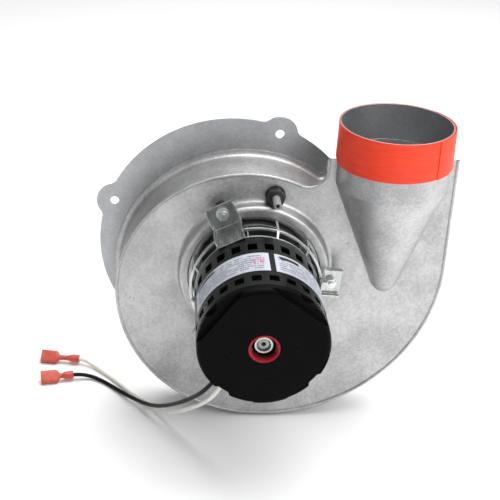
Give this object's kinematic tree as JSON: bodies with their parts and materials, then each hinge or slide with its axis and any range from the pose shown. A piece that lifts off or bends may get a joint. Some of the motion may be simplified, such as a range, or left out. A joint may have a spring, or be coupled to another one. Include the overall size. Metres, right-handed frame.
{
  "type": "combustion fan",
  "caption": "Draft inducer blower: sheet-metal scroll with round upward outlet collar and eared mounting plate, open vented motor on brackets, cooling wheel, impeller and two motor leads.",
  "frame": {"origin": "centre of the four-ear bolt pattern on the back face of the mounting plate, which sits against the appliance", "axes": "+Z the way the outlet collar points (up); +Y into the appliance, so the motor stands on the -Y side; +X towards the outlet"},
  "size_m": [0.2985, 0.182, 0.2357],
  "materials": {
    "galvanised": "satin, mottled coating",
    "galvanised_smooth": "smooth satin",
    "band_orange": "semi-matt tape",
    "black_plastic": "matt",
    "grey_plastic": "matt",
    "zinc": "zinc plated",
    "zinc_bright": "bright zinc",
    "black_rubber": "matt",
    "black_enamel": "gloss",
    "black_satin": "satin",
    "bearing_steel": "bright",
    "bearing_bronze": "sintered",
    "red_seal": "semi-gloss",
    "label": "satin",
    "laminations": "raw edges",
    "winding": "varnished copper",
    "shaft_steel": "ground",
    "wheel_aluminium": "bright pressed sheet",
    "impeller_sheet": "dull",
    "lead_black": "smooth insulation",
    "lead_white": "smooth insulation",
    "terminal_salmon": "translucent nylon",
    "tinned_brass": "tinned"
  },
  "bodies": {
    "housing": {"mounting_plate": "galvanised_smooth", "scroll_back": "galvanised", "scroll_wall": "galvanised", "inlet_ring": "galvanised", "outlet_half_duct": "galvanised", "front_plate": "galvanised", "outlet_collar": "galvanised_smooth", "outlet_band": "band_orange", "pressure_tap_body": "black_plastic", "pressure_tap_nozzle": "grey_plastic", "motor_bracket_top": "zinc", "motor_bracket_left": "zinc", "motor_bracket_right": "zinc", "bracket_grommets": "black_rubber", "bracket_studs": "zinc_bright", "bracket_washers": "zinc_bright", "bracket_nuts": "zinc_bright", "motor_base_plate": "black_enamel", "motor_shell": "black_enamel", "motor_end_cap": "black_satin", "rear_bearing": "bearing_steel", "bearing_carrier": "black_satin", "bearing_ring_red": "red_seal", "front_bearing": "bearing_bronze", "nameplate_main": "label", "nameplate_small": "label", "stator_core": "laminations", "stator_windings": "winding", "motor_cage": "zinc_bright", "lead_black": "lead_black", "terminal_sleeve_black": "terminal_salmon", "terminal_socket_black": "tinned_brass", "lead_white": "lead_white", "terminal_sleeve_white": "terminal_salmon", "terminal_socket_white": "tinned_brass", "lead_grommet": "black_rubber"},
    "rotor": {"motor_shaft": "shaft_steel", "rotor_core": "laminations", "thrust_washer_front": "grey_plastic", "shaft_collar": "shaft_steel", "cooling_wheel": "wheel_aluminium", "cooling_wheel_hub": "shaft_steel", "impeller_backplate": "impeller_sheet", "impeller_end_ring": "impeller_sheet", "impeller_hub": "shaft_steel", "impeller_blades": "impeller_sheet"}
  },
  "joints": [
    {"name": "fan_spin", "type": "hinge", "parent": "housing", "child": "rotor", "pos_m": [0.0141, -0.09, -0.00245], "axis": [0, -1, 0], "continuous": true}
  ]
}
